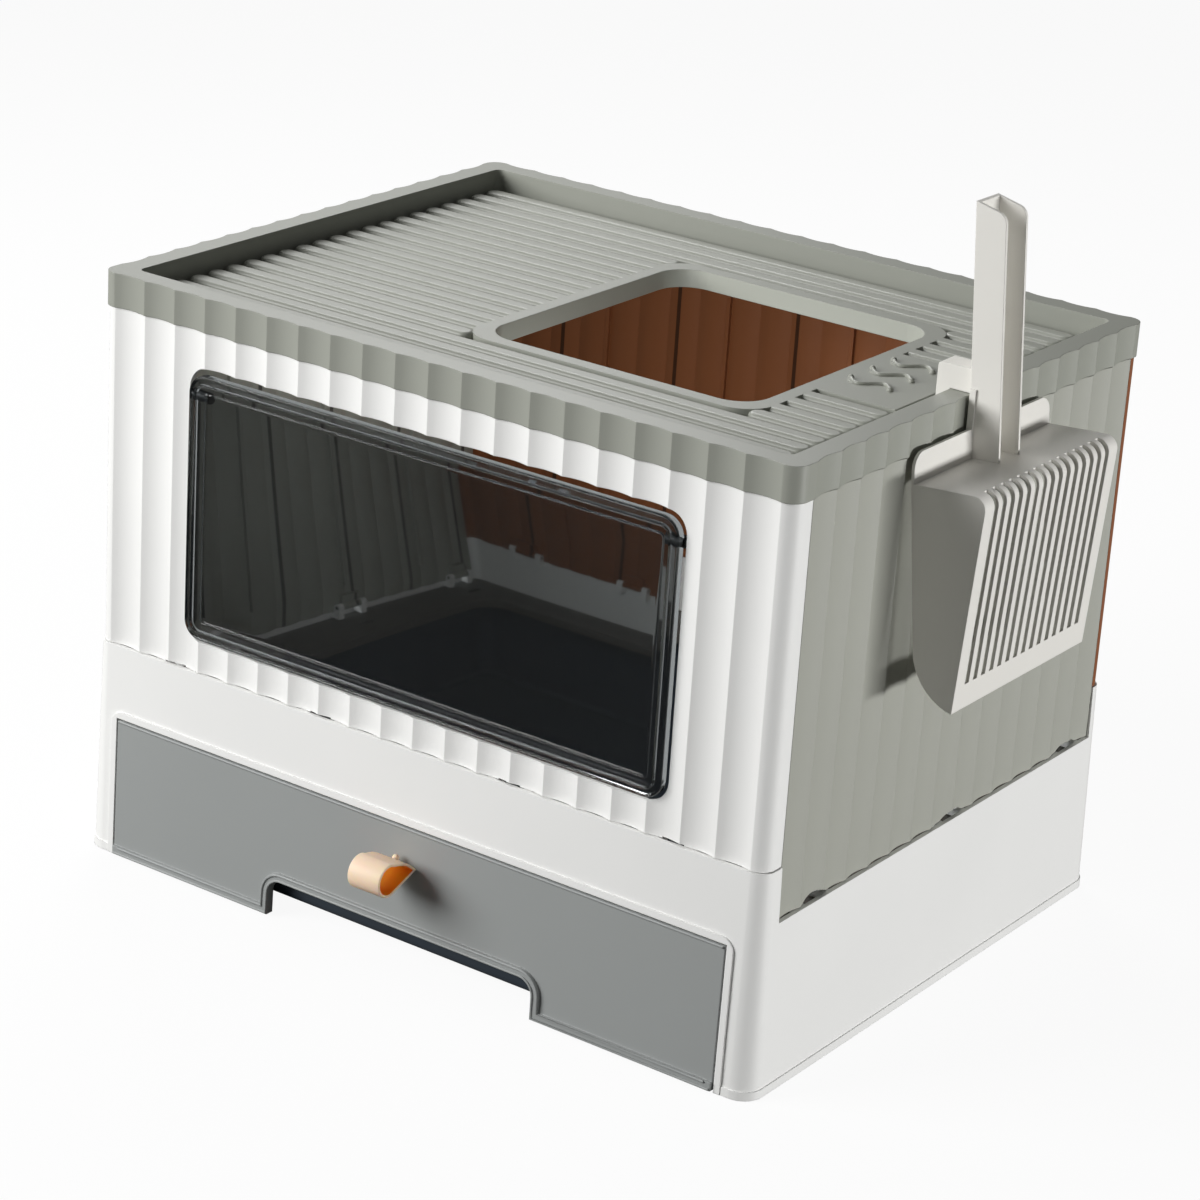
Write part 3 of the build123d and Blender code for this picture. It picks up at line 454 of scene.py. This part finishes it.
class LITTERBOX_OT_stage(bpy.types.Operator):
    """Adds the floor, the soft light and the camera"""

    bl_idname = "litter_box.stage"
    bl_label = "Stage"

    def execute(self, context):
        scene = context.scene
        scene.view_settings.view_transform = "Standard"
        scene.world = studio_world()

        def disc(bm):
            bmesh.ops.create_circle(bm, cap_ends=True, segments=FLOOR_SIDES, radius=FLOOR_RADIUS,
                                    matrix=Matrix.Translation((0, 0, -FLOOR_DROP)))

        floor = mesh_object("floor", disc, [floor_finish()])
        for lamp in LAMPS:
            area_lamp(*lamp)
        area_lamp(*CABIN_LAMP, in_sight=False)
        point_camera()
        return {"FINISHED"}


# ---- base and walls ----

class LITTERBOX_OT_shell(bpy.types.Operator):
    """Finishes the white base and the front wall"""

    bl_idname = "litter_box.shell"
    bl_label = "Shell"

    def execute(self, context):
        # White ABS, moulded in a fine eroded tool: clean and satin, with a soft sheen on its
        # crests.
        white = moulded("moulded white ABS", tuple(context.scene.litter_colours.shell),
                        roughness=0.42, edge=0.7)
        paint(white, "white_shell", "base_shell", "front_panel")
        return {"FINISHED"}


class LITTERBOX_OT_walls(bpy.types.Operator):
    """Finishes the grey side walls and the brown back wall"""

    bl_idname = "litter_box.walls"
    bl_label = "Walls"

    def execute(self, context):
        colours = context.scene.litter_colours
        # Grey-green polypropylene: a little duller than the shell, with a waxy sheen. The inner
        # faces
        # get painted shade: dark upright lines.
        for side, sign in (("left", 1), ("right", -1)):
            grey = moulded("moulded grey polypropylene " + side, tuple(colours.wall),
                           roughness=0.5, edge=0.7, bars=(*SIDE_BARS, sign))
            paint(grey, "grey_wall", side + "_panel")
        # Coloured brown all over, with a waxy sheen: the warm brown that shows through the
        # entrance.
        # Painted shade on the back wall's inner face: dark upright lines.
        brown = moulded("moulded back wall brown", tuple(colours.back),
                        roughness=0.45, edge=0.7, bars=(*BACK_BARS, -1))
        paint(brown, "brown_wall", "back_panel")
        return {"FINISHED"}


# ---- lid ----

def wave_lines():
    """The Geometry Nodes tree of the pad's raised wave lines, with a round knob at each end."""
    tree, given = new_tree("wave lines", (
        ("Length", "Float"), ("Rise", "Float"), ("Line Radius", "Float"), ("Knob Radius", "Float"),
        ("Spacing", "Float"), ("Centre", "Vector"), ("Count", "Int"), ("Material", "Material")))

    # One line along X that swings in Y as a sine, from -WAVE_TURN to WAVE_TURN over its length.
    straight = add(tree, "GeometryNodeCurvePrimitiveLine", {"Start": (-1.0, 0.0, 0.0),
                                                            "End": (1.0, 0.0, 0.0)})
    fine = add(tree, "GeometryNodeResampleCurve", {"Curve": straight.outputs["Curve"],
                                                   "Count": WAVE_POINTS})
    place = add(tree, "GeometryNodeInputPosition")
    along = add(tree, "ShaderNodeSeparateXYZ", {"Vector": place.outputs["Position"]}).outputs["X"]
    turn = add(tree, "ShaderNodeMath", {0: along, 1: WAVE_TURN}, operation="MULTIPLY")
    swing = add(tree, "ShaderNodeMath", {0: turn.outputs[0]}, operation="SINE")
    half = add(tree, "ShaderNodeMath", {0: given["Length"], 1: 0.5}, operation="MULTIPLY")
    x = add(tree, "ShaderNodeMath", {0: along, 1: half.outputs[0]}, operation="MULTIPLY")
    y = add(tree, "ShaderNodeMath", {0: swing.outputs[0], 1: given["Rise"]}, operation="MULTIPLY")
    bent = add(tree, "ShaderNodeCombineXYZ", {"X": x.outputs[0], "Y": y.outputs[0]})
    wave = add(tree, "GeometryNodeSetPosition", {"Geometry": fine.outputs["Curve"],
                                                 "Position": bent.outputs["Vector"]})
    profile = add(tree, "GeometryNodeCurvePrimitiveCircle", {"Resolution": WAVE_SIDES,
                                                             "Radius": given["Line Radius"]})
    line = add(tree, "GeometryNodeCurveToMesh", {
        "Curve": wave.outputs["Geometry"], "Profile Curve": profile.outputs["Curve"],
        "Fill Caps": True})
    ends = add(tree, "GeometryNodeCurveEndpointSelection")
    ball = add(tree, "GeometryNodeMeshUVSphere", {
        "Segments": KNOB_SEGMENTS, "Rings": KNOB_RINGS, "Radius": given["Knob Radius"]})
    knobs = add(tree, "GeometryNodeInstanceOnPoints", {
        "Points": wave.outputs["Geometry"], "Selection": ends.outputs["Selection"],
        "Instance": ball.outputs["Mesh"]})
    one = add(tree, "GeometryNodeJoinGeometry")
    tree.links.new(line.outputs["Mesh"], one.inputs["Geometry"])
    tree.links.new(knobs.outputs["Instances"], one.inputs["Geometry"])

    # The lines stand in a row along Y about the centre.
    step = add(tree, "ShaderNodeCombineXYZ", {"Y": given["Spacing"]})
    fewer = add(tree, "ShaderNodeMath", {0: given["Count"], 1: 1.0}, operation="SUBTRACT")
    back = add(tree, "ShaderNodeMath", {0: fewer.outputs[0], 1: -0.5}, operation="MULTIPLY")
    shift = add(tree, "ShaderNodeVectorMath", {0: step.outputs["Vector"], "Scale": back.outputs[0]},
                operation="SCALE")
    first = add(tree, "ShaderNodeVectorMath", {0: given["Centre"], 1: shift.outputs["Vector"]},
                operation="ADD")
    row = add(tree, "GeometryNodeMeshLine", {
        "Count": given["Count"], "Start Location": first.outputs["Vector"],
        "Offset": step.outputs["Vector"]})
    lines = add(tree, "GeometryNodeInstanceOnPoints", {"Points": row.outputs["Mesh"],
                                                       "Instance": one.outputs["Geometry"]})
    end_tree(tree, lines.outputs["Instances"], given["Material"])
    return tree


class LITTERBOX_OT_lid(bpy.types.Operator):
    """Finishes the ribbed lid and adds its raised wave lines"""

    bl_idname = "litter_box.lid"
    bl_label = "Lid"

    def execute(self, context):
        colours, sizes = context.scene.litter_colours, context.scene.litter_sizes
        # Grey polypropylene, smoother than the walls, so that its rounded ribs catch the light.
        grey = moulded("moulded lid polypropylene", tuple(colours.lid), roughness=0.4, edge=0.8)
        paint(grey, "grey_lid", "lid")

        lines = grow("pad_wave_lines", wave_lines(), {
            "Length": WAVE_LENGTH, "Rise": WAVE_RISE, "Line Radius": sizes.wave_radius,
            "Knob Radius": sizes.wave_knob, "Spacing": WAVE_SPACING, "Centre": WAVE_CENTRE,
            "Count": WAVE_COUNT, "Material": grey})
        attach(lines, "cover")
        return {"FINISHED"}


# ---- drawer ----

def round_lines():
    """The Geometry Nodes tree that turns the start mesh's edges into round moulded lines."""
    tree, given = new_tree("round lines", (
        ("Geometry", "Geometry"), ("Line Radius", "Float"), ("Material", "Material")))
    path = add(tree, "GeometryNodeMeshToCurve", {"Mesh": given["Geometry"]})
    profile = add(tree, "GeometryNodeCurvePrimitiveCircle", {"Resolution": LINE_SIDES,
                                                             "Radius": given["Line Radius"]})
    line = add(tree, "GeometryNodeCurveToMesh", {
        "Curve": path.outputs["Curve"], "Profile Curve": profile.outputs["Curve"],
        "Fill Caps": True})
    end_tree(tree, line.outputs["Mesh"], given["Material"])
    return tree


def foot_outline(low, high, inset, steps=8):
    """Points (x, z) along the drawer front's foot and round its notch, an inset from the edge."""
    level = low.z + inset
    half = NOTCH_HALF + inset
    top = NOTCH_TOP + inset
    radius = NOTCH_RADIUS + inset
    right = [(half, level)]
    for i in range(steps + 1):
        angle = math.radians(90 * i / steps)
        right.append((half - radius + radius * math.cos(angle),
                      top - radius + radius * math.sin(angle)))
    left = [(-x, z) for x, z in right]
    return [(low.x + inset, level), *left, *reversed(right), (high.x - inset, level)]


def drawer_lines(low, high, crest_y, radius):
    """Fills a start mesh with the paths of the bead's two crests and of the top edge's line."""
    def face(z):
        foot = low.y + BEAD_PROUD
        return foot + (crest_y - foot) * (z - low.z) / (high.z - low.z)

    paths = [[(x, face(z) - BEAD_PROUD, z) for x, z in foot_outline(low, high, inset)]
             for inset in BEAD_CRESTS]
    top = high.z - radius
    paths.append([(low.x + radius, face(top), top), (high.x - radius, face(top), top)])

    def build(bm):
        for path in paths:
            points = [bm.verts.new(point) for point in path]
            for one, two in zip(points, points[1:]):
                bm.edges.new((one, two))
    return build


class LITTERBOX_OT_drawer(bpy.types.Operator):
    """Finishes the drawer, its pan and the inner parts"""

    bl_idname = "litter_box.drawer"
    bl_label = "Drawer and inner parts"

    def execute(self, context):
        colours = context.scene.litter_colours
        # Mid grey ABS with an even satin face and well rounded edges.
        front = moulded("moulded drawer ABS", tuple(colours.drawer), roughness=0.42, edge=1.1)
        paint(front, "grey_drawer", "drawer_front")

        low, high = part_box("drawer_front")
        top_edge = min(v.co.y for v in NODES["drawer_front"].data.vertices
                       if v.co.z > high.z - TOP_EDGE_DEPTH)
        radius = context.scene.litter_sizes.drawer_line
        lines = grow("drawer_front_lines", round_lines(),
                     {"Line Radius": radius, "Material": front},
                     drawer_lines(low, high, top_edge, radius))
        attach(lines, "drawer")

        # Grey polypropylene inside, dull and dim behind the tinted flap.
        inner = moulded("moulded inner polypropylene", tuple(colours.inner), roughness=0.5)
        paint(inner, "grey_inner", "deck_frame", "drawer_runner_left", "drawer_runner_right",
              "runner_tie")
        # Dark grey polypropylene, smooth so that litter slides off: a faint gloss in the notch.
        pan = moulded("moulded pan polypropylene", tuple(colours.pan), roughness=0.4)
        paint(pan, "pan_grey", "litter_pan")
        return {"FINISHED"}


# ---- flap ----

def rounded_rectangle(low, high, inset, radius, depth, steps=10):
    """Points round an upright rectangle with round corners, shrunk by an inset, at depth in Y."""
    radius = max(radius - inset, SMALLEST_RADIUS)
    points = []
    for right, top, start in ((1, 1, 0), (-1, 1, 90), (-1, -1, 180), (1, -1, 270)):
        x = high.x - inset - radius if right > 0 else low.x + inset + radius
        z = high.z - inset - radius if top > 0 else low.z + inset + radius
        for i in range(steps + 1):
            angle = math.radians(start + 90 * i / steps)
            points.append((x + radius * math.cos(angle), depth, z + radius * math.sin(angle)))
    return points


def hump(middle, half, foot, top, steps=6):
    """A round ridge of the rim's section as (distance in from the edge, height) in millimetres."""
    angles = [math.pi * i / steps for i in range(steps + 1)]
    return [(middle - half * math.cos(angle), foot + (top - foot) * math.sin(angle))
            for angle in angles]


class LITTERBOX_OT_flap(bpy.types.Operator):
    """Makes the tinted flap with its moulded rim and its bushes"""

    bl_idname = "litter_box.flap"
    bl_label = "Tinted flap"

    def execute(self, context):
        colours, sizes = context.scene.litter_colours, context.scene.litter_sizes
        # Smoke tinted polycarbonate, moulded and polished: clear, glossy and neutral grey.
        clear = smoked("smoke tinted polycarbonate", tuple(colours.tint), roughness=0.03)
        low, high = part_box("window_flap")
        face = low.y + FLAP_PROUD
        back = face + sizes.flap_thickness
        section = [point for ridge in RIM_RIDGES for point in hump(*ridge)]
        section.append((RIM_WIDTH, 0.0))

        def build(bm):
            rings = [rounded_rectangle(low, high, 0.0, FLAP_RADIUS, back)]
            rings += [rounded_rectangle(low, high, inset * MM, FLAP_RADIUS, face - proud * MM)
                      for inset, proud in section]
            rows = [[bm.verts.new(point) for point in ring] for ring in rings]
            count = len(rows[0])
            for one, two in zip(rows, rows[1:]):
                for i in range(count):
                    after = (i + 1) % count
                    bm.faces.new((one[i], one[after], two[after], two[i])).smooth = True
            bm.faces.new(rows[0])
            bm.faces.new(rows[-1])
            bmesh.ops.recalc_face_normals(bm, faces=bm.faces)

        flap = mesh_object("window_flap_moulding", build, [clear])
        flap.data.set_sharp_from_angle(angle=SHARP_ANGLE)
        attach(flap, "window")
        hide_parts("window_flap")

        # Black acetal, moulded: the bushes behind the sheet in which the pivot pins sit.
        acetal = moulded("black acetal", tuple(colours.bush), roughness=0.4, edge=0.3)
        pin_low, pin_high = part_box("window_pivot_pins")
        middle = (pin_low + pin_high) / 2
        turn = Matrix.Rotation(math.pi / 2, 4, "Y")

        def bushes(bm):
            for side in (-1, 1):
                place = Vector((side * (high.x - BUSH_LENGTH / 2), middle.y, middle.z))
                bmesh.ops.create_cone(bm, cap_ends=True, segments=BUSH_SIDES,
                                      radius1=BUSH_RADIUS, radius2=BUSH_RADIUS, depth=BUSH_LENGTH,
                                      matrix=Matrix.Translation(place) @ turn)

        bush = mesh_object("flap_pivot_bushes", bushes, [acetal])
        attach(bush, "window")
        return {"FINISHED"}


# ---- pins and scoop ----

class LITTERBOX_OT_pins(bpy.types.Operator):
    """Finishes the hinge and pivot pins"""

    bl_idname = "litter_box.pins"
    bl_label = "Pins"

    def execute(self, context):
        # Steel wire, drawn and cut: bright, with fine lines in its shine.
        steel = drawn_metal("drawn steel", tuple(context.scene.litter_colours.steel), roughness=0.3)
        paint(steel, "pin_steel", "front_hinge_pins", "back_hinge_pins", "left_hinge_pins",
              "right_hinge_pins", "window_pivot_pins")
        return {"FINISHED"}


class LITTERBOX_OT_scoop(bpy.types.Operator):
    """Finishes the scoop"""

    bl_idname = "litter_box.scoop"
    bl_label = "Scoop"

    def execute(self, context):
        # Off-white ABS, glossier than the shell, warm in its shadows.
        white = moulded("moulded scoop ABS", tuple(context.scene.litter_colours.scoop),
                        roughness=0.36, edge=0.8)
        paint(white, "scoop_white", "scoop")
        return {"FINISHED"}


# ---- pull loop ----

def strap_ring(thickness, low, high, rounding, steps=4):
    """The strap's cross-section as (along X, outward) points, with rounded long edges."""
    corners = ((high - rounding, -rounding, 0), (low + rounding, -rounding, 90),
               (low + rounding, rounding - thickness, 180),
               (high - rounding, rounding - thickness, 270))
    points = []
    for x, out, start in corners:
        for i in range(steps + 1):
            angle = math.radians(start + 90 * i / steps)
            points.append((x + rounding * math.cos(angle), out + rounding * math.sin(angle)))
    return points


def strap_run(start, end, bulge, steps=6):
    """Points between two ends of a run of the strap, which swells a little to its right."""
    run = end - start
    out = Vector((run.y, -run.x)).normalized()
    return [start + run * (i / steps) + out * bulge * math.sin(math.pi * i / steps)
            for i in range(1, steps)]


def strap_path(low, high, bulge, steps):
    """The strap's outer points (y, z): a sharp tip at the drawer, and a round end away from it."""
    radius = (high.z - low.z) / 2
    tip = Vector((high.y, low.z + radius - LOOP_RISE))
    centre = Vector((low.y + radius, low.z + radius - LOOP_DROP))
    along = tip - centre
    spread = math.acos(radius / along.length)
    base = math.atan2(along.y, along.x)
    end = []
    for i in range(steps + 1):
        angle = base + spread + (2 * math.pi - 2 * spread) * i / steps
        end.append(centre + radius * Vector((math.cos(angle), math.sin(angle))))
    return [tip, *strap_run(tip, end[0], bulge), *end, *strap_run(end[-1], tip, 0.0)]


class LITTERBOX_OT_loop(bpy.types.Operator):
    """Makes the soft pull loop and its small nub"""

    bl_idname = "litter_box.loop"
    bl_label = "Pull loop"

    def execute(self, context):
        colours, sizes = context.scene.litter_colours, context.scene.litter_sizes
        # Soft moulded TPU: matt peach outside. The inner face has a painted glow: a deep orange
        # colour that stands in for light coming through the strap, on top of the light that soaks
        # through it.
        outside = moulded("soft peach TPU", tuple(colours.loop_outside),
                          roughness=0.55, edge=0.3, soak=0.3)
        inside = moulded("soft TPU with painted orange glow", tuple(colours.loop_inside_glow),
                         roughness=0.5, edge=0.3, soak=1.0)
        low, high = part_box("pull_loop")
        path = strap_path(low, high, sizes.strap_bulge, sizes.round_steps)
        ring = strap_ring(sizes.strap_thickness, low.x, high.x, sizes.strap_rounding)

        def build(bm):
            rows = []
            count = len(path)
            for i, point in enumerate(path):
                before, after = path[i - 1], path[(i + 1) % count]
                one = (point - before).normalized()
                two = (after - point).normalized()
                normal = Vector((one.y + two.y, -one.x - two.x)).normalized()
                reach = 1 / max(LEAST_MITRE_COSINE, normal.dot(Vector((one.y, -one.x))))
                rows.append([bm.verts.new((x, point.x + normal.x * out * reach,
                                           point.y + normal.y * out * reach))
                             for x, out in ring])
            size = len(ring)
            for i in range(count):
                for j in range(size):
                    a, b = rows[i], rows[(i + 1) % count]
                    face = bm.faces.new((a[j], b[j], b[(j + 1) % size], a[(j + 1) % size]))
                    depth = -(ring[j][1] + ring[(j + 1) % size][1]) / 2
                    inner = depth > INNER_FACE_SHARE * sizes.strap_thickness
                    face.material_index = 1 if inner else 0
                    face.smooth = True
            bmesh.ops.recalc_face_normals(bm, faces=bm.faces)

        loop = mesh_object("pull_loop_strap", build, [outside, inside])
        loop.data.set_sharp_from_angle(angle=SHARP_ANGLE)
        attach(loop, "drawer")
        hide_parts("pull_loop")
        paint(outside, "peach_soft", "pull_rivet")

        def ball(bm):
            bmesh.ops.create_uvsphere(bm, u_segments=NUB_SEGMENTS, v_segments=NUB_RINGS,
                                      radius=NUB_RADIUS, matrix=Matrix.Translation(NUB_PLACE))

        nub = mesh_object("pull_loop_nub", ball, [outside])
        nub.data.shade_smooth()
        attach(nub, "drawer")
        return {"FINISHED"}


# ---- add-on ----

class LITTERBOX_PT_panel(bpy.types.Panel):
    """Settings and pieces of the litter box"""

    bl_label = "Drawer Litter Box"
    bl_space_type = "VIEW_3D"
    bl_region_type = "UI"
    bl_category = "Litter Box"

    def draw(self, context):
        layout = self.layout
        for group in (context.scene.litter_colours, context.scene.litter_sizes):
            for name in group.__annotations__:
                layout.prop(group, name)
        for operator in OPERATORS:
            layout.operator(operator.bl_idname)


OPERATORS = (LITTERBOX_OT_stage, LITTERBOX_OT_shell, LITTERBOX_OT_walls, LITTERBOX_OT_lid,
             LITTERBOX_OT_drawer, LITTERBOX_OT_flap, LITTERBOX_OT_pins, LITTERBOX_OT_scoop,
             LITTERBOX_OT_loop)
CLASSES = (LitterBoxColours, LitterBoxSizes, *OPERATORS, LITTERBOX_PT_panel)


def register():
    """Registers the classes and their settings."""
    for one in CLASSES:
        bpy.utils.register_class(one)
    bpy.types.Scene.litter_colours = PointerProperty(type=LitterBoxColours)
    bpy.types.Scene.litter_sizes = PointerProperty(type=LitterBoxSizes)


def unregister():
    """Removes the settings and the classes."""
    del bpy.types.Scene.litter_sizes
    del bpy.types.Scene.litter_colours
    for one in reversed(CLASSES):
        bpy.utils.unregister_class(one)


def main():
    """Builds the scene with the add-on's operators."""
    register()
    for operator in OPERATORS:
        group, name = operator.bl_idname.split(".")
        getattr(getattr(bpy.ops, group), name)()


if __name__ == "__main__":
    main()
